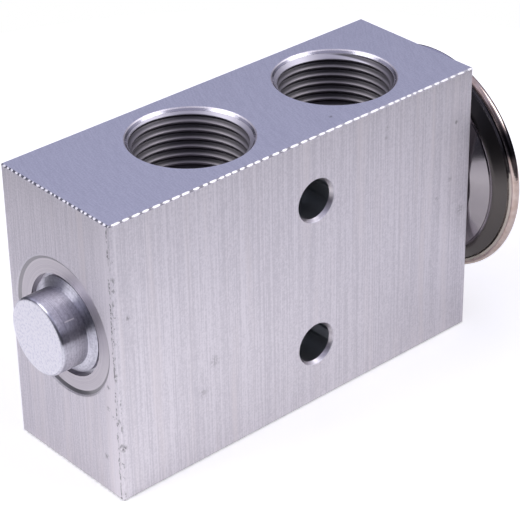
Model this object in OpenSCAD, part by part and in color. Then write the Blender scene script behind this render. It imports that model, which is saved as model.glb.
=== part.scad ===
// Block-type thermostatic expansion valve with a welded diaphragm head.
// Millimetres, +Z up. The origin is the centre of the block's base face.
// The valve axis runs along X, from the adjusting plug at -X to the diaphragm head at +X.
// Places along the valve axis are measured from the plug end face and turned parts are drawn as
// [distance from that face, radius].

/* [Block] */
// Length of the block along the valve axis
block_length = 77; // [76.5:0.1:80]
// Width of the block across its two bolting faces
block_width = 26.8; // [26.2:0.1:30]
// Height of the block between its two ported faces
block_height = 50; // [49.5:0.5:54]
// Radius of the block's upright corners
corner_r = 0.5; // [0.3:0.1:1.5]
// Chamfer round the two ported faces
edge_chamfer = 0.25; // [0.1:0.05:0.5]
// Height of the valve axis above the base
axis_height = 26.6; // [25:0.1:28]

/* [Ports] */
// Major diameter of the port threads
port_d = 20; // [19:0.1:20.5]
// Outer diameter of the chamfer at each port's mouth
port_mouth_d = 21; // [20.8:0.1:22]
// Depth of the threaded wall of each port
port_depth = 13; // [11:0.5:13]
// Diameter of the drilled floor below the liquid ports' threads
liquid_floor_d = 16; // [14:0.5:17]
// Depth of the liquid ports' floors
liquid_floor_depth = 14.5; // [14:0.1:14.8]
// Distance of the liquid ports from the plug end face
liquid_port_x = 26.9; // [26.5:0.1:27.1]
// Distance of the suction ports from the plug end face
suction_port_x = 57.9; // [57.7:0.1:58.3]
// Diameter of the suction passage between its two ports
suction_d = 17; // [15:0.5:17.2]
// Diameter of the passage from the upper liquid port to the ball chamber
inlet_d = 6; // [4:0.5:6]
// Diameter of the passage from the outlet chamber to the lower liquid port
outlet_d = 5.6; // [4:0.2:5.8]

/* [Mounting holes] */
// Distance of the mounting holes from the plug end face
mount_x = 41.4; // [41:0.1:42.5]
// Height of the upper mounting hole above the base
mount_high_z = 38.4; // [38:0.1:40]
// Distance between the two mounting holes
mount_spacing = 27.2; // [26:0.1:29]
// Diameter of the mounting holes
mount_d = 6.9; // [5:0.1:7.2]
// Diameter of the chamfer at each end of the mounting holes
mount_mouth_d = 7.8; // [7.4:0.1:8.6]
// Depth of that chamfer
mount_mouth_depth = 0.7; // [0.3:0.1:1]

/* [Adjusting plug] */
// Diameter of the shallow recess round the plug
recess_d = 23.8; // [20:0.1:25]
// Depth of the recess
recess_depth = 0.5; // [0.3:0.1:0.7]
// Width of the recess's sloping wall
recess_wall_w = 0.8; // [0.4:0.1:1]
// Diameter of the bore that takes the plug
plug_bore_d = 17.3; // [17.2:0.1:18]
// Depth of that bore below the plug end face
plug_bore_depth = 9; // [9:0.5:10.5]
// Diameter of the plug's sloping front shoulder
shoulder_d = 16; // [15:0.1:16.8]
// How far the shoulder's edge stands below the end face
shoulder_inset = 0.8; // [0.6:0.1:1]
// How far the shoulder slopes up from its edge to the stub
shoulder_rise = 0.8; // [0.4:0.1:1]
// Diameter of the round stub that stands out of the end face
stub_d = 13.1; // [11:0.1:13.6]
// How far the stub stands out of the end face
stub_length = 4.8; // [3:0.1:7]
// Rounding of the stub's front edge
stub_edge_r = 0.5; // [0.2:0.1:1]

/* [Spring and ball] */
// Diameter of the ball chamber
chamber_d = 15; // [14.6:0.1:15.4]
// Wire diameter of the superheat spring
spring_wire_d = 1.4; // [1:0.1:1.5]
// Mean diameter of the superheat spring's coils
spring_mean_d = 9.2; // [9:0.1:9.4]
// Turns of the superheat spring, closed end turns included
spring_turns = 7; // [6:1:8]
// Diameter of the valve ball
ball_d = 6; // [5.8:0.1:6.3]
// Diameter of the metering orifice
orifice_d = 4; // [3.6:0.1:4]
// Opening stroke from the shut valve
stroke = 0.8; // [0.4:0.1:0.8]

/* [Rod and stem] */
// Diameter of the pushrod
rod_d = 3; // [2.4:0.1:3]
// Diameter of the sensing stem
stem_d = 7; // [6:0.1:7.4]

/* [Diaphragm head] */
// Diameter over the weld bead on the head's rim
rim_d = 41.1; // [40.5:0.1:42.5]
// Distance from the head end face to the middle of the rim
rim_reach = 4.6; // [4.4:0.1:6]
// Sheet thickness of the two shells
shell_t = 0.7; // [0.6:0.05:0.8]
// Thickness of the diaphragm
diaphragm_t = 0.2; // [0.15:0.05:0.3]
// Height of the diaphragm's corrugations above its middle plane
corrugation = 0.3; // [0.1:0.05:0.35]
// Thread diameter of the head's neck
neck_d = 20; // [19:0.1:20.4]

/* [Fits] */
// Radial clearance of the sliding pieces
running_gap = 0.03; // [0.02:0.01:0.06]
// Radial clearance that stands for a screwed, pressed or squeezed fit
fixed_gap = 0.02; // [0.01:0.01:0.04]
// Gap left where two pieces only touch
touch_gap = 0.01; // [0.005:0.005:0.02]

/* [Hidden] */
$fn = 96;
past = 1; // how far a cutting shape runs past the face that it cuts
bend_steps = 8; // straight pieces in each rounded bend
aluminium = [0.76, 0.75, 0.79];
steel = [0.62, 0.6, 0.6];
rubber = [0.1, 0.1, 0.11];

// Liquid passages, drilled from the ports' floors close to their edges
passage_margin = 0.5; // floor left between a passage and the edge of its port's floor
passage_wall = 0.2; // metal left between a passage and the next step of the valve bore
inlet_x = liquid_port_x - (liquid_floor_d - inlet_d) / 2 + passage_margin;
outlet_x = liquid_port_x + (liquid_floor_d - outlet_d) / 2 - passage_margin;

// Seat and ball. The ball touches the 45 degree seat cone at sqrt(1/2) of its radius.
seat_x = inlet_x + inlet_d / 2 + passage_wall;
seat_length = 3;
seat_insert_r = 4.5;
seat_mouth_r = 3.2;
ball_r = ball_d / 2;
ball_x = seat_x + seat_mouth_r - ball_r * sqrt(2) - touch_gap;

// Outlet chamber, rod guide and seal between the seat and the suction passage
outlet_chamber_r = 3;
rod_guide_x = outlet_x + outlet_d / 2 + passage_wall;
stem_guide_length = 5.2;
stem_guide_x = suction_port_x - suction_d / 2 - stem_guide_length;
seal_bore_length = 3;
seal_bore_x = stem_guide_x - seal_bore_length;
seal_bore_r = 3.1;
retainer_t = 1;
rod_r = rod_d / 2;
stem_r = stem_d / 2;
stem_room = stroke + 0.7; // from the retainer to the end of the shut stem
stem_end_x = stem_guide_x + stem_room;
stem_socket_depth = 4;
rod_end_x = stem_end_x + stem_socket_depth;

// Adjusting plug
plug_bore_r = plug_bore_d / 2;
pocket_r = 5.6;
pocket_floor_x = 4;
plug_thread_x = 1.8;
plug_groove_x = 5.6;
plug_groove_w = 2;
plug_groove_r = 7.25;

// Ball carrier
carrier_back = 5.55; // from the ball's centre back to the flange
carrier_flange_x = ball_x - carrier_back;
carrier_flange_t = 1.2;
carrier_flange_r = 5.4;
carrier_cup_r = 4.4;
carrier_boss_r = 3.5;
carrier_boss_length = 3;
carrier_centre_r = 0.8;
carrier_lip = 0.55; // how far the cup reaches past the ball's line of contact

// Damping spring
damper_t = 0.3;
damper_leg_w = 3;
damper_legs = 3;
damper_leg_reach = 3.4; // along the axis, from the washer to the line where the leg rubs
damper_toe = 1.2; // along the axis, from that line to the leg's free end
damper_toe_in = 0.5; // how far the leg's two ends stand in from the chamber's wall
damper_bend_r = 0.5;

// Head, in places along the valve axis
head_face_x = block_length;
rim_x = head_face_x + rim_reach;
bead_r = shell_t + diaphragm_t / 2; // the bead rounds off both flanges
flange_r = rim_d / 2 - bead_r;
cone_end_r = flange_r - 0.6; // where the lower shell's cone bends into its flange
lower_disc_r = cone_end_r - 2.1; // where its flat disc bends into the cone
pad_top_x = rim_x - diaphragm_t / 2;
pad_r = lower_disc_r - 4;
pad_t = 1;
pad_room = stroke + 0.1; // room under the pad before it meets the lower shell
pad_hub_r = 5.5;
pad_hub_length = 8;
pad_socket_floor = 3;
lower_disc_x = pad_top_x - pad_t - pad_room - shell_t; // outer flat face of the lower shell
shell_bend_r = 1;
flange_bend_r = 0.6;
cover_height = 3.7; // outer height of the upper shell above the diaphragm
cover_end_r = flange_r - 1.15; // where the upper shell's flange bends into its cone
cover_top_r = cover_end_r - 3.6; // where the cone bends into the flat top
cover_bend_r = 2;
cover_top_x = rim_x + diaphragm_t / 2 + cover_height;
charge_hole_r = 1.5;
neck_r = neck_d / 2;
neck_bore_r = 7.5;
neck_bore_depth = 7.6;
neck_length = 6.6;
neck_collar_r = 13.5; // at the end that faces the block
neck_flare_r = lower_disc_r - 0.45; // where the collar's bevel ends under the lower shell
neck_land_t = 0.2; // height of the collar's straight edge beyond the bevel
neck_spigot_r = 9;
neck_seal_r = 0.95; // half the thickness of the neck's O-ring
neck_seal_depth = 1.7;
neck_seal_room = 0.2;
neck_seal_bore_r = neck_r + 2 * neck_seal_r + neck_seal_room;
vapour_bore_r = 5.5;

// A corner of a path as an arc of radius r, from the leg towards a to the leg towards c
function unit(v) = v / norm(v);
function turn(a) = a > 180 ? a - 360 : (a < -180 ? a + 360 : a);
function bend(a, b, c, r) = let (
    u = unit(a - b),
    v = unit(c - b),
    half = acos(u * v) / 2,
    centre = b + unit(u + v) * r / sin(half),
    from = b + u * r / tan(half) - centre,
    to = b + v * r / tan(half) - centre,
    start = atan2(from[1], from[0]),
    sweep = turn(atan2(to[1], to[0]) - start)
) [for (i = [0:bend_steps]) let (t = start + sweep * i / bend_steps) centre + r * [cos(t), sin(t)]];

// The outline of a bent strip of thickness t whose middle line is the path
function side(path, d) = [
    for (i = [0:len(path) - 1])
    let (along = unit(path[min(i + 1, len(path) - 1)] - path[max(i - 1, 0)]))
    path[i] + d * [-along[1], along[0]]
];
function reversed(list) = [for (i = [len(list) - 1:-1:0]) list[i]];
function strip(path, t) = concat(side(path, t / 2), reversed(side(path, -t / 2)));

// Moves a shape drawn along +Z from the plug end face onto the valve axis
module on_valve_axis() {
    translate([-block_length / 2, 0, axis_height]) rotate([0, 90, 0]) children();
}

// A turned or pressed round piece from its half section of [place, radius] points
module turned(section) {
    on_valve_axis() rotate_extrude() polygon([for (p = section) [p[1], p[0]]]);
}

// A ring of round section, such as an O-ring
module round_ring(x, mean_r, section_r) {
    on_valve_axis() translate([0, 0, x]) rotate_extrude() translate([mean_r, 0]) circle(r = section_r);
}

// Rectangle with rounded corners, made of true arcs
module rounded_rectangle(size_x, size_y, r) {
    square([size_x - 2 * r, size_y], center = true);
    square([size_x, size_y - 2 * r], center = true);
    for (x = [-1, 1], y = [-1, 1])
        translate([x * (size_x / 2 - r), y * (size_y / 2 - r)]) circle(r = r);
}

// Upright outline of the block seen from one side, with its four corners cut off
module chamfered_side(width) {
    w = width / 2;
    c = edge_chamfer;
    h = block_height;
    polygon([[c - w, 0], [w - c, 0], [w, c], [w, h - c], [w - c, h], [c - w, h], [-w, h - c], [-w, c]]);
}

// The extruded bar, cut to length and deburred round its two ported faces
module block_blank() {
    intersection() {
        linear_extrude(block_height) rounded_rectangle(block_length, block_width, corner_r);
        rotate([90, 0, 0]) linear_extrude(block_width + 2 * past, center = true)
            chamfered_side(block_length);
        rotate([90, 0, 90]) linear_extrude(block_length + 2 * past, center = true)
            chamfered_side(block_width);
    }
}

// A port in the upper face with its mouth chamfer, plain at the thread's major diameter
module port_hole(x) {
    mouth = (port_mouth_d - port_d) / 2;
    translate([x - block_length / 2, 0, block_height - port_depth]) {
        cylinder(d = port_d, h = port_depth + past);
        translate([0, 0, port_depth - mouth])
            cylinder(d1 = port_d, d2 = port_mouth_d + 2 * past, h = mouth + past);
    }
}

// The floor drilled below the thread of an upper liquid port
module liquid_floor_hole() {
    translate([liquid_port_x - block_length / 2, 0, block_height - liquid_floor_depth])
        cylinder(d = liquid_floor_d, h = liquid_floor_depth - port_depth + past);
}

// Runs its shapes on the upper face and again on the lower face
module both_ported_faces() {
    children();
    translate([0, 0, block_height / 2]) mirror([0, 0, 1]) translate([0, 0, -block_height / 2])
        children();
}

// A hole through both bolting faces with a steep chamfer at each mouth
module mount_hole(z) {
    spread = (mount_mouth_d - mount_d) / mount_mouth_depth; // gain of diameter in each millimetre
    translate([mount_x - block_length / 2, 0, z]) rotate([90, 0, 0]) {
        cylinder(d = mount_d, h = block_width + 2 * past, center = true);
        for (s = [0, 1]) mirror([0, 0, s]) translate([0, 0, block_width / 2 - mount_mouth_depth])
            cylinder(d1 = mount_d, d2 = mount_mouth_d + spread * past, h = mount_mouth_depth + past);
    }
}

// Stepped bore from the plug end to the suction passage
module plug_side_bore() {
    turned([
        [-recess_depth, 0], [-recess_depth, recess_d / 2 + recess_wall_w],
        [recess_depth, recess_d / 2 - recess_wall_w], [recess_depth, plug_bore_r],
        [plug_bore_depth, plug_bore_r], [plug_bore_depth, chamber_d / 2],
        [seat_x, chamber_d / 2], [seat_x, seat_insert_r],
        [seat_x + seat_length, seat_insert_r], [seat_x + seat_length, outlet_chamber_r],
        [rod_guide_x, outlet_chamber_r], [rod_guide_x, rod_r + running_gap],
        [seal_bore_x, rod_r + running_gap], [seal_bore_x, seal_bore_r],
        [stem_guide_x, seal_bore_r], [stem_guide_x, stem_r + running_gap],
        [suction_port_x, stem_r + running_gap], [suction_port_x, 0]
    ]);
}

// Stepped bore from the suction passage to the head end
module head_side_bore() {
    turned([
        [suction_port_x, 0], [suction_port_x, vapour_bore_r],
        [head_face_x - neck_bore_depth, vapour_bore_r], [head_face_x - neck_bore_depth, neck_r],
        [head_face_x - neck_seal_depth, neck_r], [head_face_x - neck_seal_depth, neck_seal_bore_r],
        [head_face_x + past, neck_seal_bore_r], [head_face_x + past, 0]
    ]);
}

module valve_body() {
    color(aluminium) difference() {
        block_blank();
        both_ported_faces() {
            port_hole(liquid_port_x);
            port_hole(suction_port_x);
            liquid_floor_hole();
        }
        translate([suction_port_x - block_length / 2, 0, port_depth - past])
            cylinder(d = suction_d, h = block_height - 2 * (port_depth - past));
        translate([inlet_x - block_length / 2, 0, axis_height])
            cylinder(d = inlet_d, h = block_height - liquid_floor_depth - axis_height + past);
        translate([outlet_x - block_length / 2, 0, liquid_floor_depth - past])
            cylinder(d = outlet_d, h = axis_height - liquid_floor_depth + past);
        for (z = [mount_high_z, mount_high_z - mount_spacing]) mount_hole(z);
        plug_side_bore();
        head_side_bore();
    }
}

// Turned plug: stub, sloping shoulder, thread, seal groove and a pocket for the spring
module adjusting_plug() {
    stub_r = stub_d / 2;
    thread_r = plug_bore_r - fixed_gap;
    front = -stub_length;
    edge = bend([front, 0], [front, stub_r], [0, stub_r], stub_edge_r);
    color(aluminium) turned(concat([[front, 0]], edge, [
        [shoulder_inset - shoulder_rise, stub_r], [shoulder_inset, shoulder_d / 2],
        [plug_thread_x, shoulder_d / 2], [plug_thread_x, thread_r],
        [plug_groove_x, thread_r], [plug_groove_x, plug_groove_r],
        [plug_groove_x + plug_groove_w, plug_groove_r], [plug_groove_x + plug_groove_w, thread_r],
        [plug_bore_depth, thread_r], [plug_bore_depth, pocket_r],
        [pocket_floor_x, pocket_r], [pocket_floor_x, 0]
    ]));
}

module plug_o_ring() {
    section_r = (plug_bore_r - plug_groove_r) / 2 - fixed_gap;
    color(rubber) round_ring(plug_groove_x + plug_groove_w / 2, (plug_bore_r + plug_groove_r) / 2,
        section_r);
}

// Compression spring with one closed turn at each end, swept along its own helix
spring_sides = 8;
spring_rings = 20; // rings in a turn
spring_from_x = pocket_floor_x + spring_wire_d / 2 + touch_gap;
spring_to_x = carrier_flange_x - damper_t - spring_wire_d / 2 - touch_gap;
spring_pitch = (spring_to_x - spring_from_x - 2 * spring_wire_d) / (spring_turns - 2);
function spring_place(t) =
    t < 1 ? spring_from_x + t * spring_wire_d :
    t > spring_turns - 1 ? spring_to_x - (spring_turns - t) * spring_wire_d :
    spring_from_x + spring_wire_d + (t - 1) * spring_pitch;
function spring_ring(t) = [
    for (k = [0:spring_sides - 1])
    let (
        around = 360 * k / spring_sides,
        r = (spring_mean_d + spring_wire_d * cos(around)) / 2
    )
    [r * cos(360 * t), r * sin(360 * t), spring_place(t) + spring_wire_d / 2 * sin(around)]
];

module superheat_spring() {
    rings = spring_turns * spring_rings;
    points = [for (i = [0:rings], p = spring_ring(i / spring_rings)) p];
    sides = [
        for (i = [0:rings - 1], k = [0:spring_sides - 1])
        let (a = i * spring_sides, b = a + spring_sides, n = (k + 1) % spring_sides)
        [a + k, a + n, b + n, b + k]
    ];
    first = [for (k = [spring_sides - 1:-1:0]) k];
    last = [for (k = [0:spring_sides - 1]) rings * spring_sides + k];
    color(steel) on_valve_axis() polyhedron(points, concat([first], sides, [last]), convexity = 10);
}

// Cup with a 45 degree dimple for the ball, a flange for the spring and a boss inside it
module ball_carrier() {
    touch_r = ball_r / sqrt(2) + touch_gap;
    lip_x = ball_x - touch_r + carrier_lip;
    color(steel) turned([
        [carrier_flange_x - carrier_boss_length, 0],
        [carrier_flange_x - carrier_boss_length, carrier_boss_r],
        [carrier_flange_x, carrier_boss_r], [carrier_flange_x, carrier_flange_r],
        [carrier_flange_x + carrier_flange_t, carrier_flange_r],
        [carrier_flange_x + carrier_flange_t, carrier_cup_r],
        [lip_x, carrier_cup_r], [lip_x, touch_r + carrier_lip],
        [ball_x - 2 * touch_r + carrier_centre_r, carrier_centre_r],
        [ball_x - 2 * touch_r + carrier_centre_r, 0]
    ]);
}

// Sheet washer between spring and carrier, with bent legs that rub on the chamber's wall
module damping_spring() {
    washer_x = carrier_flange_x - damper_t / 2;
    rub_r = sqrt(pow(chamber_d / 2 - running_gap, 2) - pow(damper_leg_w / 2, 2)) - damper_t / 2;
    a = [washer_x, carrier_flange_r - 1];
    b = [washer_x, rub_r - damper_toe_in];
    c = [washer_x + damper_leg_reach, rub_r];
    d = [washer_x + damper_leg_reach + damper_toe, rub_r - damper_toe_in];
    leg = concat([a], bend(a, b, c, damper_bend_r), bend(b, c, d, damper_bend_r), [d]);
    color(steel) {
        turned([
            [washer_x - damper_t / 2, carrier_boss_r + running_gap],
            [washer_x - damper_t / 2, carrier_flange_r],
            [washer_x + damper_t / 2, carrier_flange_r],
            [washer_x + damper_t / 2, carrier_boss_r + running_gap]
        ]);
        on_valve_axis() for (i = [0:damper_legs - 1]) rotate([0, 0, 360 * i / damper_legs])
            rotate([90, 0, 0]) linear_extrude(damper_leg_w, center = true)
                polygon([for (p = strip(leg, damper_t)) [p[1], p[0]]]);
    }
}

module valve_ball() {
    color(steel) on_valve_axis() translate([0, 0, ball_x]) sphere(d = ball_d);
}

// Pressed-in ring with the seat cone and the metering orifice
module seat_insert() {
    orifice_r = orifice_d / 2;
    outer_r = seat_insert_r - fixed_gap;
    color(steel) turned([
        [seat_x, seat_mouth_r], [seat_x, outer_r], [seat_x + seat_length, outer_r],
        [seat_x + seat_length, orifice_r], [seat_x + seat_mouth_r - orifice_r, orifice_r]
    ]);
}

module pushrod() {
    start_x = ball_x + ball_r + touch_gap;
    color(steel) turned([[start_x, 0], [start_x, rod_r], [rod_end_x, rod_r], [rod_end_x, 0]]);
}

module rod_o_ring() {
    section_r = (seal_bore_r - rod_r - running_gap - fixed_gap) / 2;
    color(rubber) round_ring(stem_guide_x - retainer_t - section_r - touch_gap,
        rod_r + running_gap + section_r, section_r);
}

module o_ring_retainer() {
    outer_r = seal_bore_r - fixed_gap;
    hole_r = rod_r + 2 * running_gap;
    back_x = stem_guide_x - retainer_t;
    color(steel) turned([
        [back_x, hole_r], [back_x, outer_r], [stem_guide_x, outer_r], [stem_guide_x, hole_r]
    ]);
}

// Stem across the suction passage: a socket for the pushrod, its other end in the pad's hub
module sensing_stem() {
    top_x = pad_top_x - pad_socket_floor;
    socket_r = rod_r + fixed_gap;
    color(aluminium) turned([
        [stem_end_x, socket_r], [stem_end_x, stem_r], [top_x, stem_r], [top_x, 0],
        [rod_end_x, 0], [rod_end_x, socket_r]
    ]);
}

// Stop plate under the diaphragm, turned in one with its hub
module diaphragm_pad() {
    under_x = pad_top_x - pad_t;
    socket_r = stem_r + fixed_gap;
    socket_x = pad_top_x - pad_socket_floor;
    color(steel) turned([
        [pad_top_x, 0], [pad_top_x, pad_r], [under_x, pad_r], [under_x, pad_hub_r],
        [under_x - pad_hub_length, pad_hub_r], [under_x - pad_hub_length, socket_r],
        [socket_x, socket_r], [socket_x, 0]
    ]);
}

// Sleeve screwed into the block, with a bevelled collar over the O-ring that spreads out to the
// lower shell's flat disc, and a spigot in that shell
module threaded_neck() {
    thread_r = neck_r - fixed_gap;
    collar_x = head_face_x - neck_seal_depth + 2 * neck_seal_r;
    color(steel) turned([
        [head_face_x - neck_length, neck_bore_r], [head_face_x - neck_length, thread_r],
        [collar_x, thread_r], [collar_x, neck_collar_r],
        [lower_disc_x - neck_land_t, neck_flare_r], [lower_disc_x, neck_flare_r],
        [lower_disc_x, neck_spigot_r - fixed_gap], [lower_disc_x + shell_t, neck_spigot_r - fixed_gap],
        [lower_disc_x + shell_t, neck_bore_r]
    ]);
}

module neck_o_ring() {
    color(rubber) round_ring(head_face_x - neck_seal_depth + neck_seal_r,
        neck_r + neck_seal_r + fixed_gap, neck_seal_r);
}

// Pressed shell: flat disc, cone and flange, drawn along the middle of its sheet
module lower_shell() {
    a = [lower_disc_x + shell_t / 2, neck_spigot_r];
    b = [lower_disc_x + shell_t / 2, lower_disc_r];
    c = [rim_x - (diaphragm_t + shell_t) / 2, cone_end_r];
    d = [rim_x - (diaphragm_t + shell_t) / 2, flange_r];
    middle = concat([a], bend(a, b, c, shell_bend_r), bend(b, c, d, flange_bend_r), [d]);
    color(steel) turned(strip(middle, shell_t));
}

// Thin disc, flat over the pad and at the rim, with round corrugations between
module diaphragm() {
    from_r = pad_r + 0.6;
    to_r = cone_end_r - 0.8;
    waves = 3;
    steps = 12; // straight pieces in a wave
    color(steel) turned(strip(concat(
        [[rim_x, 0]],
        [
            for (i = [0:waves * steps])
            [rim_x + corrugation * sin(360 * i / steps), from_r + (to_r - from_r) * i / waves / steps]
        ],
        [[rim_x, flange_r]]
    ), diaphragm_t));
}

// Pressed cover: flange, cone and flat top with a hole for the charge plug
module upper_shell() {
    a = [cover_top_x - shell_t / 2, charge_hole_r];
    b = [cover_top_x - shell_t / 2, cover_top_r];
    c = [rim_x + (diaphragm_t + shell_t) / 2, cover_end_r];
    d = [rim_x + (diaphragm_t + shell_t) / 2, flange_r];
    middle = concat([a], bend(a, b, c, cover_bend_r), bend(b, c, d, flange_bend_r), [d]);
    color(steel) turned(strip(middle, shell_t));
}

// Half-round bead that closes the edges of both shells and the diaphragm
module rim_weld() {
    color(steel) on_valve_axis() translate([0, 0, rim_x]) rotate_extrude() intersection() {
        translate([flange_r, 0]) circle(r = bead_r);
        translate([flange_r, -bead_r]) square([bead_r, 2 * bead_r]);
    }
}

// Round-headed plug welded into the upper shell once the head is filled
module charge_plug() {
    head_r = 2.6;
    head_h = 1.5;
    head_sphere_r = (head_r * head_r + head_h * head_h) / 2 / head_h;
    shank_length = 1.2;
    color(steel) on_valve_axis() translate([0, 0, cover_top_x]) {
        translate([0, 0, -shank_length]) cylinder(r = charge_hole_r - fixed_gap, h = shank_length);
        intersection() {
            translate([0, 0, head_h - head_sphere_r]) sphere(r = head_sphere_r);
            cylinder(r = head_r + past, h = head_h + past);
        }
    }
}

valve_body();
adjusting_plug();
plug_o_ring();
superheat_spring();
ball_carrier();
damping_spring();
valve_ball();
seat_insert();
pushrod();
rod_o_ring();
o_ring_retainer();
sensing_stem();
diaphragm_pad();
threaded_neck();
neck_o_ring();
lower_shell();
diaphragm();
upper_shell();
rim_weld();
charge_plug();
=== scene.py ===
# Looks of a block-type thermostatic expansion valve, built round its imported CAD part.
# Metres, +Z up, origin at the centre of the block's base face. Patterns work in millimetres.

import math

import bmesh
import bpy
import numpy as np
from mathutils import Matrix, Vector


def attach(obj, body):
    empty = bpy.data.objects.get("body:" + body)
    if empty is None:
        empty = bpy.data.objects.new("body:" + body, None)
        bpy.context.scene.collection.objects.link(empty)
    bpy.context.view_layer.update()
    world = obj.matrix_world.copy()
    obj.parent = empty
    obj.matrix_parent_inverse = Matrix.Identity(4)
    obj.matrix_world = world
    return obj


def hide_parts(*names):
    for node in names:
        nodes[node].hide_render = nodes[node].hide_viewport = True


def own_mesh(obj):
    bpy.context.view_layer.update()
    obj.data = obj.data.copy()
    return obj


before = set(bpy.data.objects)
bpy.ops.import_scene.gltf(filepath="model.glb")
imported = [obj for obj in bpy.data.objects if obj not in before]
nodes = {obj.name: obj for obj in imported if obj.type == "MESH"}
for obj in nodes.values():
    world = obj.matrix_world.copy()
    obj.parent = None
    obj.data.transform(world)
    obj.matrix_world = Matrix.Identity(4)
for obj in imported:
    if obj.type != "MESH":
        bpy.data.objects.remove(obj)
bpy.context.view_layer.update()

# Valve body
# The real block is a bar of extruded aluminium cut to length, so its four upright faces keep
# fine die lines, while its two ported faces are milled and their edges show the cutter's bites.


class Finish:
    """The node tree of one surface finish. Each call adds a node and gives back its output."""

    def __init__(self, name, colour, roughness, metallic=1.0):
        self.material = bpy.data.materials.new(name)
        self.material.use_nodes = True
        self.tree = self.material.node_tree
        self.shader = self.tree.nodes["Principled BSDF"]
        self.shader.inputs["Base Color"].default_value = (*colour, 1)
        self.shader.inputs["Roughness"].default_value = roughness
        self.shader.inputs["Metallic"].default_value = metallic
        coordinates = self.tree.nodes.new("ShaderNodeTexCoord")
        self.place = self.vector("SCALE", coordinates.outputs["Object"], scale=1000)
        self.x, self.y, self.z = self.split(self.place)
        self.nx, self.ny, self.nz = [
            self.math("ABSOLUTE", n) for n in self.split(coordinates.outputs["Normal"])
        ]

    def fill(self, socket, value):
        """Links an output to a socket, or sets a plain number, colour or vector on it."""
        if isinstance(value, bpy.types.NodeSocket):
            self.tree.links.new(value, socket)
        elif value is not None:
            socket.default_value = value

    def math(self, operation, a, b=None, c=None):
        """One Math node."""
        node = self.tree.nodes.new("ShaderNodeMath")
        node.operation = operation
        for socket, value in zip(node.inputs, (a, b, c)):
            self.fill(socket, value)
        return node.outputs[0]

    def vector(self, operation, a, b=None, scale=None):
        """One Vector Math node."""
        node = self.tree.nodes.new("ShaderNodeVectorMath")
        node.operation = operation
        self.fill(node.inputs[0], a)
        self.fill(node.inputs[1], b)
        if scale is not None:
            node.inputs["Scale"].default_value = scale
        return node.outputs["Value" if operation == "DISTANCE" else "Vector"]

    def split(self, vector):
        """The three parts of a vector."""
        node = self.tree.nodes.new("ShaderNodeSeparateXYZ")
        self.fill(node.inputs[0], vector)
        return node.outputs

    def join(self, x, y, z):
        """A vector from three numbers."""
        node = self.tree.nodes.new("ShaderNodeCombineXYZ")
        for socket, value in zip(node.inputs, (x, y, z)):
            self.fill(socket, value)
        return node.outputs[0]

    def noise(self, vector, stretch, detail=2):
        """Noise from 0 to 1, with stretch cycles in a millimetre along x, y and z."""
        node = self.tree.nodes.new("ShaderNodeTexNoise")
        node.inputs["Scale"].default_value = 1
        node.inputs["Detail"].default_value = detail
        self.fill(node.inputs["Vector"], self.vector("MULTIPLY", vector, stretch))
        return node.outputs["Fac"]

    def step(self, value, low, high, to_low=0.0, to_high=1.0):
        """A smooth step from to_low, where value is low, to to_high, where it is high."""
        node = self.tree.nodes.new("ShaderNodeMapRange")
        node.interpolation_type = "SMOOTHSTEP"
        for socket, number in zip(node.inputs, (value, low, high, to_low, to_high)):
            self.fill(socket, number)
        return node.outputs[0]

    def choose(self, share, a, b):
        """a where share is 0 and b where it is 1, for numbers."""
        return self.math("MULTIPLY_ADD", self.math("SUBTRACT", b, a), share, a)

    def tint(self, share, a, b):
        """Colour a where share is 0, going to colour b where it is 1."""
        node = self.tree.nodes.new("ShaderNodeMix")
        node.data_type = "RGBA"
        self.fill(node.inputs["Factor"], share)
        for socket, value in ((node.inputs[6], a), (node.inputs[7], b)):
            self.fill(socket, (*value, 1) if isinstance(value, tuple) else value)
        return node.outputs[2]

    def near(self, point, reach):
        """1 at a point given in millimetres, falling to 0 at the distance reach."""
        return self.step(self.vector("DISTANCE", self.place, point), 0, reach, 1, 0)

    def from_axis(self):
        """Distance from the valve axis, which runs along X."""
        flat = self.vector("MULTIPLY", self.place, (0, 1, 1))
        return self.vector("DISTANCE", flat, (0, 0, AXIS_Z))

    def dress(self, colour, roughness, height, names=()):
        """Links the colour, roughness and height in millimetres, and puts the finish on CAD nodes."""
        self.fill(self.shader.inputs["Base Color"], colour)
        self.fill(self.shader.inputs["Roughness"], roughness)
        if height is not None:
            node = self.tree.nodes.new("ShaderNodeBump")
            node.inputs["Distance"].default_value = 0.001
            node.inputs["Strength"].default_value = 1
            self.fill(node.inputs["Height"], height)
            self.fill(self.shader.inputs["Normal"], node.outputs[0])
        for name in names:
            for material_slot in nodes[name].material_slots:
                material_slot.material = self.material


AXIS_Z = 26.6
BLOCK = (38.5, 13.4, 25.0)  # half length, half width, half height
PORTS = (-11.6, 19.4)  # liquid and suction ports along X
HOLE_X = 2.9  # mounting holes along X
HOLE_REACH = 3.6  # just past the mounting holes' radius
HOLE_MOUTH = 0.75  # the mounting holes' chamfers end above this depth
SKIN_DEPTH = 0.16  # what lies deeper is the wall or floor of a bore
EDGE_WIDTH = 0.26  # the worn edges of the ported faces are narrower than this
MOUTH_DEPTH = 1.1  # the ports' mouth cones end above this depth
RECESS_DEPTH = 0.55  # the recess's wall ends above this depth
FILLET_R = 10.8  # from here outwards the recess's floor turns up
MID_SHADE = (0.38, 0.62)  # the middle stretch of a noise, over which a pattern's shade changes

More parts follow.
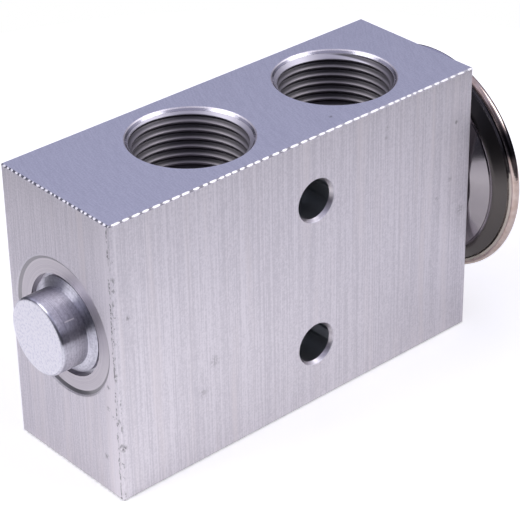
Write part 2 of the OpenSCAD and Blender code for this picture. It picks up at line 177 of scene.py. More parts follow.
block = Finish("block_aluminium", (0.66, 0.635, 0.70), 0.34)
in_x = block.math("SUBTRACT", BLOCK[0], block.math("ABSOLUTE", block.x))
in_y = block.math("SUBTRACT", BLOCK[1], block.math("ABSOLUTE", block.y))
in_z = block.math("SUBTRACT", BLOCK[2], block.math(
    "ABSOLUTE", block.math("SUBTRACT", block.z, BLOCK[2])))
in_side = block.math("MINIMUM", in_x, in_y)
skin = block.step(block.math("MINIMUM", in_side, in_z), SKIN_DEPTH, SKIN_DEPTH + 0.04, 1, 0)
milled = block.math("MULTIPLY", block.step(block.nz, 0.93, 0.97), skin)
edge_reach = block.math("MAXIMUM", in_side, in_z)
chamfer = block.math("MULTIPLY", block.step(edge_reach, EDGE_WIDTH, EDGE_WIDTH + 0.02, 1, 0),
                     block.math("SUBTRACT", skin, milled))
plug_end = block.math("LESS_THAN", block.x, 0.03 - BLOCK[0])

# Die lines run up the four sides, with a fine grain between them and a slow change of shade.
lines = block.noise(block.place, (4.6, 4.6, 0.02))
streaks = block.noise(block.place, (3.0, 3.0, 0.22))
grain = block.noise(block.place, (3.4, 3.4, 3.0))
slow = block.noise(block.place, (0.35, 0.35, 0.02))
die_lines = block.math("MULTIPLY_ADD", streaks, 0.2, block.math("MULTIPLY", lines, 0.45))
die_lines = block.math("MULTIPLY_ADD", grain, 0.35, die_lines)
side_colour = block.tint(
    block.step(die_lines, *MID_SHADE), (0.65, 0.622, 0.665), (0.795, 0.762, 0.805))
side_colour = block.tint(block.step(slow, 0.5, 0.7, 0, 0.5), side_colour, (0.79, 0.74, 0.76))
# painted highlight: the end face is painted lighter towards the near corner
CORNER_HIGHLIGHT_Y = (-13.0, -8.0)
corner_highlight = block.math("MULTIPLY", block.step(block.y, *CORNER_HIGHLIGHT_Y, 0.5, 0), plug_end)
side_colour = block.tint(corner_highlight, side_colour, (0.93, 0.89, 0.93))
side_height = block.math("MULTIPLY", die_lines, 0.012)

# Handling marks: place in millimetres, reach and share of shade. Most lie along the near corner.
MARKS = (
    ((-35.8, -13.4, 33.1), 0.6, 0.6), ((34.8, -13.4, 41.1), 0.6, 0.7),
    ((36.5, -13.4, 23.8), 1.5, 0.3), ((18.5, -13.4, 45.8), 0.7, 0.3),
    ((18.3, -13.4, 44.1), 0.6, 0.3), ((33.7, -13.4, 30.7), 0.7, 0.3),
    ((30.6, -13.4, 28.1), 0.6, 0.3), ((-21.7, -13.4, 12.9), 1.4, 0.3),
    ((-19.1, -13.4, 17.8), 1.7, 0.3), ((-37.9, -13.4, 10.0), 0.9, 0.9),
    ((-38.5, -11.1, 20.6), 0.6, 0.6), ((-38.5, -10.8, 16.5), 0.6, 0.6),
    ((-38.5, -9.6, 6.9), 0.8, 0.5), ((-38.5, -12.0, 15.4), 0.5, 0.5), ((9.1, -10.1, 50.0), 0.5, 0.7),
)
mark_shade = 0.0
for mark_place, mark_reach, mark_share in MARKS:
    mark = block.math("MULTIPLY", block.near(mark_place, mark_reach), mark_share)
    mark_shade = block.math("MAXIMUM", mark_shade, mark)
# dirt sits in a dotted line on the end face beside the near corner, and in specks at the corner
DIRT_LINE_Y = -12.8
off_line = block.math("ABSOLUTE", block.math("SUBTRACT", block.y, DIRT_LINE_Y))
line_gaps = block.step(block.noise(block.place, (1.5, 1.5, 0.6), 3), 0.47, 0.53)
corner_line = block.math("MULTIPLY", block.step(off_line, 0.06, 0.22, 0.7, 0), line_gaps)
corner_line = block.math("MULTIPLY", corner_line, plug_end)
mark_shade = block.math("MAXIMUM", mark_shade, corner_line)
SPECK_REACH = (0.75, 0.9)  # the specks reach this far round the corner, along x and y
corner_specks = block.math(
    "MULTIPLY", block.step(block.x, 0.35 - BLOCK[0], SPECK_REACH[0] - BLOCK[0], 0.5, 0),
    block.math("LESS_THAN", block.y, SPECK_REACH[1] - BLOCK[1]))
speck_gaps = block.step(block.noise(block.place, (2.2, 2.2, 0.9)), 0.56, 0.62)
corner_specks = block.math("MULTIPLY", corner_specks, speck_gaps)
mark_shade = block.math("MAXIMUM", mark_shade, corner_specks)
# no mark is a clean patch: each is broken up
mark_gaps = block.step(block.noise(block.place, (2.6, 2.6, 2.0)), 0.38, 0.55)
mark_shade = block.math("MULTIPLY", mark_shade, mark_gaps)

# The face mill crosses the ported faces in wide arcs at a slant.
CUTTER_CENTRE = (80.0, -30.0, 0.0)
SLANT = (0.39, 0.92)  # the way across the arcs, along x and y
arc = block.vector("DISTANCE", block.vector("MULTIPLY", block.place, (1, 1, 0)), CUTTER_CENTRE)
along = block.math("MULTIPLY_ADD", block.y, SLANT[1], block.math("MULTIPLY", block.x, SLANT[0]))
mill_space = block.join(arc, along, block.z)
mill_fine = block.noise(mill_space, (3.6, 0.4, 0))
mill_broad = block.noise(mill_space, (1.1, 0.05, 0))
mill_lines = block.math("MULTIPLY_ADD", mill_broad, 0.15, block.math("MULTIPLY", mill_fine, 0.35))
mill_lines = block.math("MULTIPLY_ADD", grain, 0.5, mill_lines)
# painted reflection: the ported faces are painted bluer than the sides, as the reflection of the
# lavender cloth overhead; the mill's arcs vary their shade
mill_grain_and_sky_tint = block.tint(
    block.step(mill_lines, *MID_SHADE), (0.60, 0.61, 0.71), (0.70, 0.71, 0.81))
mill_height = block.math("MULTIPLY", mill_lines, 0.01)

# Bores keep tool rings: the ports' lie across Z, and the recess's floor has rings round the axis.
bore_noise = block.noise(block.place, (0.2, 0.2, 3))
ring_noise = block.noise(block.join(block.from_axis(), 0, 0), (4, 0, 0))
faced = block.math("MULTIPLY", block.step(block.nx, 0.93, 0.97), block.math("SUBTRACT", 1, skin))
bore_lines = block.choose(faced, bore_noise, ring_noise)
bore_colour = block.tint(
    block.step(bore_lines, 0.3, 0.7), (0.60, 0.565, 0.60), (0.73, 0.69, 0.715))
# painted shade: the recess's wall and the ports' mouths are painted darker, as the shade in these
# hollows
recess_wall = block.math("MULTIPLY", block.step(in_x, RECESS_DEPTH, RECESS_DEPTH + 0.05, 1, 0),
                         block.math("SUBTRACT", 1, faced))
bore_colour = block.tint(recess_wall, bore_colour, (0.36, 0.345, 0.36))
port_mouth = block.math("MULTIPLY", block.step(in_z, MOUTH_DEPTH, MOUTH_DEPTH + 0.1, 1, 0),
                        block.math("SUBTRACT", 1, skin))
bore_colour = block.tint(port_mouth, bore_colour, (0.43, 0.415, 0.465))
# the mounting holes are drilled plain and lie deep in shade
off_hole = block.math("ABSOLUTE", block.math("SUBTRACT", block.x, HOLE_X))
in_hole = block.math("SUBTRACT", block.step(in_y, HOLE_MOUTH, HOLE_MOUTH + 0.1),
                     block.step(off_hole, HOLE_REACH, HOLE_REACH + 0.3))
bore_colour = block.tint(block.math("MAXIMUM", in_hole, 0), bore_colour, (0.53, 0.55, 0.57))
# the recess's floor turns up into its wall in a small fillet
past_floor = block.math("MAXIMUM", block.math("SUBTRACT", block.from_axis(), FILLET_R), 0)
fillet = block.math("MULTIPLY", block.math("MULTIPLY", past_floor, past_floor), 0.3)
fillet = block.math("MULTIPLY", fillet, faced)
bore_height = block.math("MULTIPLY_ADD", bore_lines, 0.008, fillet)

# The cutter's bites break the long edges into dashes and the short ones into beads; each bite is a
# painted highlight, with painted shade in the gaps between.
DASHES, BEADS = 0.52, 0.93  # bites in a millimetre of the long and the short edges
SLOW_FEED = ((-21, -9), (19, 27))  # stretches along X in which the bites lie closer together
EXTRA_DASHES = 1.6  # in each of these stretches
wander = block.noise(block.place, (0.8, 0.8, 0.2))
reach = block.math("ADD", block.x, BLOCK[0])
dash_count = block.math("MULTIPLY_ADD", reach, DASHES, wander)
for slow_from, slow_to in SLOW_FEED:
    extra = block.step(block.x, slow_from, slow_to, 0, EXTRA_DASHES)
    dash_count = block.math("ADD", dash_count, extra)
dash = block.math("SINE", block.math("MULTIPLY", dash_count, 2 * math.pi))
bead_count = block.math("MULTIPLY_ADD", wander, 1.2, block.math("MULTIPLY", block.y, BEADS))
bead = block.math("SINE", block.math("MULTIPLY", bead_count, 2 * math.pi))
on_end = block.math("LESS_THAN", in_x, in_y)
# across runs from -1 at the ported face to 1 at the side, and makes each bite a lens
across = block.math("MULTIPLY", block.math("SUBTRACT", in_z, in_side), 4)
lens = block.math("MULTIPLY", across, across)
wave = block.math("MULTIPLY_ADD", lens, -0.9, block.choose(on_end, dash, bead))
# the bites are shorter towards the head, and shorter still on the ends
wave = block.math("MULTIPLY_ADD", block.step(block.x, 5, 38), -0.25, wave)
bite = block.step(block.math("MULTIPLY_ADD", on_end, -0.65, wave), -0.95, -0.7)
# painted shade in the gaps, darker towards the plug, and painted highlights on the bites, brightest on
# the ends
gap_painted_shade = block.tint(block.step(block.x, -5, 15), (0.11, 0.105, 0.125), (0.19, 0.185, 0.21))
gap_painted_shade = block.tint(on_end, gap_painted_shade, (0.12, 0.12, 0.145))
bite_painted_glint = block.tint(on_end, (0.42, 0.41, 0.43), (0.80, 0.78, 0.82))
edge_glints_and_shade = block.tint(bite, gap_painted_shade, bite_painted_glint)

sides_or_top = block.tint(milled, side_colour, mill_grain_and_sky_tint)
sides_or_top = block.tint(mark_shade, sides_or_top, (0.13, 0.125, 0.13))
skin_or_bore = block.tint(skin, bore_colour, sides_or_top)
block_colour = block.tint(chamfer, skin_or_bore, edge_glints_and_shade)
block_height = block.choose(skin, bore_height, block.choose(milled, side_height, mill_height))
cut_end = block.math("GREATER_THAN", block.nx, 0.9)
bore_rough = block.choose(faced, block.choose(port_mouth, 0.35, 0.22), 0.5)
skin_rough = block.choose(milled, block.choose(cut_end, 0.46, 0.6), 0.38)
block_rough = block.choose(skin, bore_rough, skin_rough)
block_rough = block.choose(chamfer, block_rough, 0.34)
# the die lines stand upright, so reflections in the sides are drawn out level
level_way = block.join(block.math("ADD", block.ny, 0.001), block.nx, 0)
drawn_out = block.math("MULTIPLY", block.step(block.nz, 0.4, 0.5, 0.75, 0),
                       block.math("SUBTRACT", skin, chamfer))
block.fill(block.shader.inputs["Tangent"], level_way)
block.fill(block.shader.inputs["Anisotropic"], drawn_out)
block.dress(block_colour, block_rough, block_height, ["valve_body"])

# Port threads
# The four ports are tapped M20 x 1.5 right-hand, and a 45 degree chamfer opens each mouth. The
# block's solid is plain at the major diameter, so each thread is a thin sleeve set into it.

THREAD_PITCH = 1.5
ROOT_R = 9.96
CREST_R = 9.19
MOUTH_R = 10.5
THREAD_DEPTH = 13.0
HIDDEN_R = 10.4  # the sleeve's outer wall, inside the block's metal
SLEEVE_TOP = 0.3  # depth at which the sleeve starts
RUN_OUT = 1.4  # the thread fades out over this length at the bottom
MERGE_REACH = 1e-7  # points nearer than this, in metres, are one
ROWS = 12  # points in a pitch
COLUMNS = 192  # points in a turn
CREST_ANGLE = 48.6  # the angle about the port at which a crest's depth is given


def ridge_radius(turns):
    """Radius of the thread at a place in pitches from a crest's middle: the mean of the crest's
    and the root's radius less a cosine wave, because tapping and deburring rounded both."""
    return (ROOT_R + CREST_R) / 2 - (ROOT_R - CREST_R) / 2 * np.cos(2 * np.pi * turns)


def open_merged(mesh):
    """A mesh opened for work, with its doubles merged and its faces shaded smooth."""
    work = bmesh.new()
    work.from_mesh(mesh)
    bmesh.ops.remove_doubles(work, verts=work.verts, dist=MERGE_REACH)
    for face in work.faces:
        face.smooth = True
    return work


def add_sleeve(name, points, faces):
    """Puts a thread into its port: a mesh in metres from an array of points in millimetres and an
    array of four-sided faces, with its doubles merged and its faces turned outwards."""
    mesh = bpy.data.meshes.new(name)
    mesh.from_pydata((points * 0.001).tolist(), [], faces.tolist())
    work = open_merged(mesh)
    bmesh.ops.dissolve_degenerate(work, edges=work.edges, dist=MERGE_REACH)
    bmesh.ops.recalc_face_normals(work, faces=work.faces)
    work.to_mesh(mesh)
    work.free()
    sleeve = bpy.data.objects.new(name, mesh)
    bpy.context.scene.collection.objects.link(sleeve)
    mesh.materials.append(thread.material)
    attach(sleeve, "housing")


def thread_sleeve(port_x, crest_depth, upper):
    """Points and faces of one port's thread. Column i stands at the angle 2 pi i / COLUMNS, and
    row j lies j / ROWS pitches below the start, raised by a pitch in each turn. The radius is the
    ridge's, but never less than the mouth cone's, and it opens to the root at the last pitch."""
    rows = (math.ceil(THREAD_DEPTH / THREAD_PITCH) + 3) * ROWS + 1
    column, row = np.meshgrid(np.arange(COLUMNS), np.arange(rows), indexing="ij")
    angle = 2 * np.pi * column / COLUMNS
    top, bottom = SLEEVE_TOP, THREAD_DEPTH + 0.02
    # whole pitches are taken off so that row ROWS of each column starts above the mouth
    start = crest_depth + THREAD_PITCH * CREST_ANGLE / 360
    start -= THREAD_PITCH * math.ceil((start - top) / THREAD_PITCH + 1)
    depth = start + THREAD_PITCH * (row / ROWS - column / COLUMNS)
    radius = ridge_radius(row / ROWS)
    fade = np.clip(depth - (bottom - RUN_OUT), 0, 1)
    radius = radius + (ROOT_R - radius) * fade * fade * (3 - 2 * fade)
    depth = np.clip(depth, top, bottom)
    radius = np.maximum(radius, MOUTH_R - depth + 0.02)
    inner = np.stack([radius * np.cos(angle), radius * np.sin(angle), -depth], -1)
    ring = 2 * np.pi * np.arange(COLUMNS) / COLUMNS
    wall = [
        np.stack([HIDDEN_R * np.cos(ring), HIDDEN_R * np.sin(ring), np.full(COLUMNS, -wall_depth)], -1)
        for wall_depth in (bottom, top)]
    grid = np.concatenate([inner, wall[0][:, None], wall[1][:, None]], 1)
    total = rows + 2
    i, j = np.meshgrid(np.arange(COLUMNS), np.arange(total), indexing="ij")
    below = (j + 1) % total
    last = i == COLUMNS - 1
    turned_row = np.where(last & (j < rows), np.maximum(j - ROWS, 0), j)
    turned_below = np.where(last & (below < rows) & (below > 0), np.maximum(below - ROWS, 0), below)
    side = (i + 1) % COLUMNS
    faces = np.stack(
        [i * total + j, i * total + below, side * total + turned_below, side * total + turned_row],
        -1).reshape(-1, 4)
    points = grid.reshape(-1, 3)
    if upper:
        return points + (port_x, 0, 2 * BLOCK[2]), faces
    return points * (1, -1, -1) + (port_x, 0, 0), faces


thread = Finish("thread_aluminium", (0.26, 0.245, 0.26), 0.5)
turning = thread.noise(thread.place, (0.25, 0.25, 9))
level = thread.vector("MULTIPLY", thread.place, (1, 1, 0))
port_r = thread.math("MINIMUM", thread.vector("DISTANCE", level, (PORTS[0], 0, 0)),
                     thread.vector("DISTANCE", level, (PORTS[1], 0, 0)))
port_depth = thread.math("SUBTRACT", BLOCK[2], thread.math(
    "ABSOLUTE", thread.math("SUBTRACT", thread.z, BLOCK[2])))
# painted shade: the thread is painted dark for the shade inside the port, and its roots darker still
# for the shade between the ridges; the mouth's cone is painted less dark
off_cone = thread.math("SUBTRACT", thread.math("ADD", port_r, port_depth), MOUTH_R + 0.02)
on_cone = thread.step(thread.math("ABSOLUTE", off_cone), 0.04, 0.1, 1, 0)
in_root = thread.step(port_r, CREST_R + 0.16, CREST_R + 0.56)
thread_grain_and_shade = thread.tint(thread.step(turning, 0.3, 0.7), (0.23, 0.215, 0.23), (0.30, 0.28, 0.30))
thread_grain_and_shade = thread.tint(in_root, thread_grain_and_shade, (0.13, 0.122, 0.132))
thread_grain_and_shade = thread.tint(on_cone, thread_grain_and_shade, (0.50, 0.48, 0.53))
thread.dress(thread_grain_and_shade, None, thread.math("MULTIPLY", turning, 0.004))
for port, port_x, crest_depth in (("liquid", PORTS[0], 2.2), ("suction", PORTS[1], 2.8)):
    for side_name, upper in (("upper", True), ("lower", False)):
        points, faces = thread_sleeve(port_x, crest_depth, upper)
        add_sleeve(f"{side_name}_{port}_port_thread", points, faces)

# Seat, ball, carrier and springs
# A pressed-in seat, a ground steel ball in its turned cup, a sheet damper and a coil spring of
# drawn wire work in the chamber behind the adjusting plug.

inner = Finish("inner_steel", (0.50, 0.49, 0.49), 0.3)
grind = inner.noise(inner.place, (6, 1.5, 1.5), 3)
inner_colour = inner.tint(inner.step(grind, 0.3, 0.7), (0.42, 0.41, 0.41), (0.58, 0.57, 0.57))
inner.dress(
    inner_colour, inner.step(grind, 0.2, 0.8, 0.24, 0.4), inner.math("MULTIPLY", grind, 0.006),
    ["seat_insert", "ball_carrier", "pushrod", "o_ring_retainer", "diaphragm_pad", "damping_spring"])

wire = Finish("spring_wire", (0.42, 0.41, 0.42), 0.32)
drawn = wire.noise(wire.place, (2, 5, 5), 3)
wire_colour = wire.tint(wire.step(drawn, 0.3, 0.75), (0.34, 0.33, 0.34), (0.52, 0.51, 0.52))
wire.dress(wire_colour, wire.step(drawn, 0.2, 0.8, 0.25, 0.42),
           wire.math("MULTIPLY", drawn, 0.008), ["superheat_spring"])

# The spring is shown by a copy of its solid, with its doubles merged and its faces shaded smooth.
WIRE_EDGE_DEGREES = 40  # sharper edges than this are the wire's cut ends
coil_mesh = nodes["superheat_spring"].data.copy()
coil_mesh.transform(nodes["superheat_spring"].matrix_world)
if coil_mesh.has_custom_normals:
    coil_mesh.attributes.remove(coil_mesh.attributes["custom_normal"])
coil_work = open_merged(coil_mesh)
coil_work.to_mesh(coil_mesh)
coil_work.free()
coil_mesh.set_sharp_from_angle(angle=math.radians(WIRE_EDGE_DEGREES))
coil = bpy.data.objects.new("superheat_spring_coil", coil_mesh)
bpy.context.scene.collection.objects.link(coil)
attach(coil, "housing")
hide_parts("superheat_spring")
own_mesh(coil)

ball = Finish("ball_steel", (0.72, 0.71, 0.71), 0.08)
haze = ball.noise(ball.place, (3, 3, 3), 3)
ball_colour = ball.tint(ball.step(haze, 0.4, 0.7), (0.70, 0.69, 0.69), (0.76, 0.75, 0.75))
ball.dress(ball_colour, ball.step(haze, 0.3, 0.8, 0.05, 0.16), None, ["valve_ball"])

# Adjusting plug
# The plug is turned from bar and screwed in to set the superheat. Its stub's end is satin, and
# its side and its sloping shoulder, which closes the bore, keep fine turning lines.

plug = Finish("turned_aluminium", (0.60, 0.59, 0.65), 0.2)
SCRATCH_X, SCRATCH_Z = -40.6, 30.86  # middle of the scratch
SCRATCH_LENGTH = 1.8
satin = plug.noise(plug.place, (2.4, 2.4, 2.4), 3)
plug_rings = plug.noise(plug.join(plug.from_axis(), 0, 0), (3.5, 0, 0))
turned_lines = plug.noise(plug.place, (7, 0.12, 0.12))
side_grain = plug.noise(plug.place, (2.5, 2.5, 2.5), 3)
plug_face = plug.step(plug.nx, 0.90, 0.95)
face_height = plug.math("ADD", plug.math("MULTIPLY", satin, 0.018),
                        plug.math("MULTIPLY", plug_rings, 0.008))
side_shade = plug.math("MULTIPLY_ADD", side_grain, 0.5, plug.math("MULTIPLY", turned_lines, 0.5))
turned_side = plug.tint(
    plug.step(side_shade, 0.35, 0.65), (0.50, 0.49, 0.555), (0.73, 0.72, 0.79))
satin_face = plug.tint(plug.step(satin, 0.34, 0.56), (0.80, 0.79, 0.87), (0.93, 0.915, 0.965))
plug_colour = plug.tint(plug_face, turned_side, satin_face)
# a bright scratch runs along the near side of the stub
beside_scratch = plug.math("ABSOLUTE", plug.math("SUBTRACT", plug.z, SCRATCH_Z))
along_scratch = plug.math("ABSOLUTE", plug.math("SUBTRACT", plug.x, SCRATCH_X))
scratch = plug.math("MULTIPLY", plug.step(beside_scratch, 0.04, 0.12, 1, 0),
                    plug.step(along_scratch, SCRATCH_LENGTH / 2 - 0.1, SCRATCH_LENGTH / 2 + 0.1, 1, 0))
scratch = plug.math("MULTIPLY", scratch, plug.math("LESS_THAN", plug.y, 0))
plug_colour = plug.tint(scratch, plug_colour, (0.97, 0.95, 0.97))
# turning lines run round the side, so its reflections are drawn out along the axis
lay = plug.tree.nodes.new("ShaderNodeTangent")
lay.direction_type = "RADIAL"
lay.axis = "X"
plug.fill(plug.shader.inputs["Tangent"], lay.outputs[0])
plug.fill(plug.shader.inputs["Anisotropic"], plug.math(
    "MULTIPLY", plug.choose(plug_face, 0.95, 0.0), plug.math("SUBTRACT", 1, scratch)))
plug.fill(plug.shader.inputs["Anisotropic Rotation"], 0.25)
plug_rough = plug.choose(scratch, plug.choose(plug_face, 0.3, 0.5), 0.7)
plug_height = plug.choose(plug_face, plug.math("MULTIPLY", side_shade, 0.006), face_height)
plug.dress(plug_colour, plug_rough, plug_height, ["adjusting_plug", "sensing_stem"])

# O-rings
# Moulded rubber rings seal the plug, the pushrod and the neck of the head.

rubber = Finish("seal_rubber", (0.02, 0.02, 0.022), 0.45, metallic=0.0)
bloom = rubber.noise(rubber.place, (4, 4, 4), 3)
rubber_colour = rubber.tint(
    rubber.step(bloom, 0.4, 0.75), (0.016, 0.016, 0.018), (0.04, 0.04, 0.043))
rubber.dress(rubber_colour, rubber.step(bloom, 0.3, 0.8, 0.38, 0.6),
             rubber.math("MULTIPLY", bloom, 0.004), ["plug_o_ring", "rod_o_ring", "neck_o_ring"])

# Diaphragm head
# Two shells pressed from stainless sheet hold the diaphragm and are welded round their rim, and
# the heat of the weld leaves a tan tint near it. A turned neck screws the head into the block.

SEAM_X = 43.1  # where the shells meet
DISC_R = 16.75  # the lower shell's disc ends here and its cone begins
CONE_R = 18.95  # the cone ends here and the flange begins
BLACK_Z = (32.5, 34.5)  # heights over which the flange turns from tan to black
CONE_Z = (32, 42)  # heights over which the cone darkens
head = Finish("head_steel", (0.62, 0.58, 0.60), 0.12)
head_r = head.from_axis()
head_rings = head.noise(head.join(head_r, 0, 0), (2.5, 0, 0))
smear = head.noise(head.place, (0.35, 0.35, 0.35), 3)
spots = head.noise(head.place, (1.6, 1.6, 1.6))
steel_colour = head.tint(
    head.step(smear, 0.35, 0.7), (0.60, 0.555, 0.585), (0.67, 0.62, 0.645))
steel_colour = head.tint(head.step(spots, 0.62, 0.72, 0, 0.35), steel_colour, (0.40, 0.37, 0.38))
# painted shade: the side that faces the block is painted darker than the cover, as the shade between
# the head and the block
shaded_underside = head.step(head.x, SEAM_X - 0.5, SEAM_X, 0.75, 0)
steel_colour = head.tint(shaded_underside, steel_colour, (0.27, 0.25, 0.262))
# the lower shell's cone is dull and dark, and painted darker upwards, a painted reflection of the
# shaded gap beside the block; the weld's heat left its flange and the rim tan
dull = head.math("MULTIPLY", head.step(head_r, DISC_R, DISC_R + 0.35),
                 head.step(head_r, CONE_R, CONE_R + 0.35, 1, 0))
dull = head.math("MULTIPLY", dull, head.math("LESS_THAN", head.x, SEAM_X - 0.2))
tan = head.step(head_r, CONE_R - 0.05, CONE_R + 0.45)
tan_colour = head.tint(head_rings, (0.54, 0.49, 0.43), (0.45, 0.39, 0.34))
# painted reflection: above these heights the flange is painted black, as the reflection of the shaded
# gap beside the block
painted_black_reflection = head.math("MULTIPLY", head.step(head.z, *BLACK_Z),
                       head.math("LESS_THAN", head.x, SEAM_X + 0.2))
tan_colour = head.tint(painted_black_reflection, tan_colour, (0.05, 0.047, 0.05))
cone_colour_and_reflection = head.tint(head.step(head.z, *CONE_Z), (0.11, 0.10, 0.095), (0.03, 0.029, 0.03))
head_colour = head.tint(tan, head.tint(dull, steel_colour, cone_colour_and_reflection), tan_colour)
head_rough = head.choose(dull, head.step(smear, 0.3, 0.8, 0.08, 0.16), 0.28)
# the flange falls away outwards, as the pressing left it
past_cone = head.math("SUBTRACT", head_r, CONE_R + 0.05)
fall = head.math("MINIMUM", head.math("MAXIMUM", past_cone, 0), 1.0)
head_height = head.math("SUBTRACT", head.math("MULTIPLY", head_rings, 0.002), fall)
head.dress(head_colour, head_rough, head_height,
           ["lower_shell", "upper_shell", "diaphragm", "threaded_neck", "charge_plug"])

RIPPLES = 260  # in one turn of the bead
BLUE_Z = (45.0, 46.5)  # heights over which the bead turns from tan to blue grey
BAND_START, BAND_END = (32.8, 34.2), (37.0, 40.0)  # heights of the bead's blackened stretch
weld = Finish("weld_steel", (0.60, 0.48, 0.43), 0.14)
ripple_angle = weld.math("ARCTAN2", weld.y, weld.math("SUBTRACT", weld.z, AXIS_Z))
ripple = weld.math("SINE", weld.math("MULTIPLY", ripple_angle, RIPPLES))
weld_noise = weld.noise(weld.place, (0.8, 0.8, 0.8), 3)
weld_colour = weld.tint(weld.step(weld_noise, 0.35, 0.7), (0.64, 0.53, 0.48), (0.54, 0.42, 0.36))
# painted reflection: the bead's top is painted blue grey, as the reflection of the lavender cloth
# above
weld_colour = weld.tint(weld.step(weld.z, *BLUE_Z), weld_colour, (0.46, 0.46, 0.57))
# painted reflection: a stretch of the bead beside the block is painted black, as the reflection of the
# shaded gap
painted_dark_band = weld.math("MULTIPLY", weld.step(weld.z, *BAND_START), weld.step(weld.z, *BAND_END, 1, 0))
weld_colour = weld.tint(painted_dark_band, weld_colour, (0.05, 0.045, 0.048))
weld.dress(weld_colour, None, weld.math("MULTIPLY", ripple, 0.0006), ["rim_weld"])

# Studio
# A small white table in a tent of lavender cloth. The tent is dark below, low down and round the
# camera, and two soft lamps stand left and right. None of it is part of the object.

TENT_R = 1.3
TABLE_R = 0.15
TABLE_Z = -0.00002  # just under the block's base
CAMERA_SIDE = np.array([-0.585, -0.698, 0.411])


def smooth_rise(value, low, high):
    """0 below low, 1 above high, with a smooth step between."""
    share = np.clip((value - low) / (high - low), 0, 1)
    return share * share * (3 - 2 * share)


def tent_glow(direction):
    """Brightness of the tent's cloth in each direction: dark up to 13 degrees, full above 31
    degrees, and shaded within 14 to 34 degrees of the camera's side."""
    glow = 0.16 + 0.84 * smooth_rise(direction[..., 2], 0.22, 0.52)
    glow = np.where(direction[..., 2] < 0, 0.10, glow)
    return glow * (1 - 0.85 * smooth_rise(direction @ CAMERA_SIDE, 0.829, 0.970))


def disc_mesh(name, radius, height, rings=12, sides=96):
    """A flat disc that faces up. Point (i, j) stands on ring i, whose radius grows evenly from
    nothing to the disc's, at the angle 2 pi j / sides."""
    ring_r, ring_angle = np.meshgrid(
        np.linspace(0, radius, rings), np.linspace(0, 2 * np.pi, sides + 1)[:-1], indexing="ij")
    points = np.stack([ring_r * np.cos(ring_angle), ring_r * np.sin(ring_angle),
                       np.full(ring_r.shape, height)], -1).reshape(-1, 3)
    i, j = np.meshgrid(np.arange(rings - 1), np.arange(sides), indexing="ij")
    beside = (j + 1) % sides
    faces = np.stack([i * sides + j, (i + 1) * sides + j, (i + 1) * sides + beside,
                      i * sides + beside], -1).reshape(-1, 4)
    mesh = bpy.data.meshes.new(name)
    mesh.from_pydata(points.tolist(), [], faces.tolist())
    return mesh


# The table looks white to the camera. Metal sees two painted pools of light on it, which glow only for
# the rays that metal and glass send:
# one in front of the block, and one behind on the left, where the end face and the plug mirror it.
POOLS = (((-20, -25, 0), 80, 0.22), ((-95, 60, 0), 90, 0.25))  # centre, reach, strength
POOL_CORE = 20  # each pool is at its full strength this far from its centre
CAMERA_LIFT = 0.36  # what the table adds to its lit colour for the camera
table_finish = Finish("table", (0.95, 0.945, 0.91), 0.9, metallic=0.0)
table_finish.fill(table_finish.shader.inputs["Specular IOR Level"], 0.0)
table_finish.fill(table_finish.shader.inputs["Emission Color"], (1, 1, 1, 1))
rays = table_finish.tree.nodes.new("ShaderNodeLightPath")
painted_pool_glow = 0.0
for pool_centre, pool_reach, strength in POOLS:
    off_pool = table_finish.vector("DISTANCE", table_finish.place, pool_centre)
    pool = table_finish.step(off_pool, POOL_CORE, pool_reach, strength, 0.0)
    painted_pool_glow = table_finish.math("ADD", pool, painted_pool_glow)
mirrored = table_finish.math(
    "ADD", rays.outputs["Is Glossy Ray"], rays.outputs["Is Transmission Ray"])
painted_pool_glow = table_finish.math("MULTIPLY", mirrored, painted_pool_glow)
table_finish.fill(
    table_finish.shader.inputs["Emission Strength"],
    table_finish.math("MULTIPLY_ADD", rays.outputs["Is Camera Ray"], CAMERA_LIFT, painted_pool_glow))
table_mesh = disc_mesh("table", TABLE_R, TABLE_Z)
table_mesh.materials.append(table_finish.material)
table = bpy.data.objects.new("table", table_mesh)
bpy.context.scene.collection.objects.link(table)

# The tent is a sphere: columns run round it by azimuth and rows rise from nadir to zenith.
TENT_ROWS, TENT_COLUMNS = 80, 96
azimuth, rise = np.meshgrid(np.linspace(0, 2 * np.pi, TENT_COLUMNS + 1)[:-1],
                            np.linspace(-np.pi / 2, np.pi / 2, TENT_ROWS), indexing="ij")
direction = np.stack(
    [np.cos(rise) * np.cos(azimuth), np.cos(rise) * np.sin(azimuth), np.sin(rise)], -1)
i, j = np.meshgrid(np.arange(TENT_COLUMNS), np.arange(TENT_ROWS - 1), indexing="ij")
beside = (i + 1) % TENT_COLUMNS
tent_faces = np.stack([i * TENT_ROWS + j, i * TENT_ROWS + j + 1, beside * TENT_ROWS + j + 1,
                       beside * TENT_ROWS + j], -1).reshape(-1, 4)
tent_mesh = bpy.data.meshes.new("tent")
tent_mesh.from_pydata((direction * TENT_R).reshape(-1, 3).tolist(), [], tent_faces.tolist())
glow = tent_mesh.attributes.new("glow", "FLOAT", "POINT")
glow.data.foreach_set("value", tent_glow(direction).astype(np.float32).ravel())
tent_finish = bpy.data.materials.new("tent")
tent_finish.use_nodes = True
tent_tree = tent_finish.node_tree
tent_tree.nodes.remove(tent_tree.nodes["Principled BSDF"])
cloth = tent_tree.nodes.new("ShaderNodeEmission")
cloth.inputs["Color"].default_value = (0.57, 0.565, 0.72, 1)
reading = tent_tree.nodes.new("ShaderNodeAttribute")
reading.attribute_name = "glow"
tent_tree.links.new(reading.outputs["Fac"], cloth.inputs["Strength"])
tent_tree.links.new(cloth.outputs[0], tent_tree.nodes["Material Output"].inputs["Surface"])
tent_mesh.materials.append(tent_finish)
tent = bpy.data.objects.new("tent", tent_mesh)
bpy.context.scene.collection.objects.link(tent)
tent.visible_camera = False
tent.visible_shadow = False

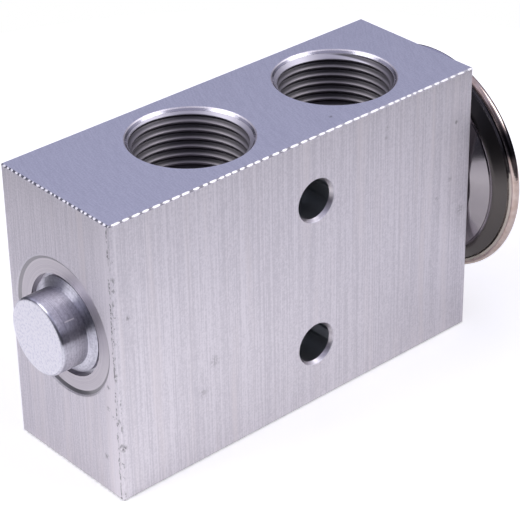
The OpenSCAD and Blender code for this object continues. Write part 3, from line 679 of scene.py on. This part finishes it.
# the room beyond is white to the camera and to the rays that metal and glass send, and gives no light
world = bpy.data.worlds.new("white_room")
bpy.context.scene.world = world
world.use_nodes = True
world_tree = world.node_tree
sky = world_tree.nodes["Background"]
sky.inputs["Color"].default_value = (1, 1, 1, 1)
world_rays = world_tree.nodes.new("ShaderNodeLightPath")
seen = world_rays.outputs["Is Camera Ray"]
for ray_kind in ("Is Glossy Ray", "Is Transmission Ray"):
    either = world_tree.nodes.new("ShaderNodeMath")
    either.operation = "ADD"
    world_tree.links.new(seen, either.inputs[0])
    world_tree.links.new(world_rays.outputs[ray_kind], either.inputs[1])
    seen = either.outputs[0]
world_tree.links.new(seen, sky.inputs["Strength"])

LAMP_REACH, LAMP_SIZE, LAMP_WATTS = 0.9, 0.5, 2.6
LAMPS = (("right_lamp", (0.50, -0.535, 0.68)), ("left_lamp", (-0.61, 0.30, 0.73)))
for lamp_name, lamp_side in LAMPS:
    lamp = bpy.data.lights.new(lamp_name, "AREA")
    lamp.shape = "SQUARE"
    lamp.size = LAMP_SIZE
    lamp.energy = LAMP_WATTS
    lamp_object = bpy.data.objects.new(lamp_name, lamp)
    lamp_object.location = Vector(lamp_side).normalized() * LAMP_REACH
    lamp_object.rotation_euler = Vector(lamp_side).to_track_quat("Z", "Y").to_euler()
    bpy.context.scene.collection.objects.link(lamp_object)

# Camera
# The view of the photograph, worked out from the block's outline. Millimetres and degrees; the
# lens value is for a 36 mm wide sensor and a square picture.

AZIMUTH, ELEVATION, ROLL = -41.213, 30.988, -0.976
camera = bpy.data.cameras.new("camera")
camera.lens = 149.518
camera.sensor_width = 36
camera.clip_start = 0.01
camera_object = bpy.data.objects.new("camera", camera)
bpy.context.scene.collection.objects.link(camera_object)
turn = (Matrix.Rotation(math.radians(AZIMUTH), 4, "Z")
        @ Matrix.Rotation(math.radians(90 - ELEVATION), 4, "X")
        @ Matrix.Rotation(math.radians(ROLL), 4, "Z"))
# the origin seen from the camera: to the right, up, and behind its lens plane
ORIGIN_SEEN = Vector((-1.54, -19.478, -370.132))
camera_object.matrix_world = Matrix.Translation(turn.to_3x3() @ ORIGIN_SEEN * -0.001) @ turn
bpy.context.scene.camera = camera_object

# Colour
# The picture's colours pass through the Standard view transform, unchanged.

bpy.context.scene.view_settings.view_transform = "Standard"
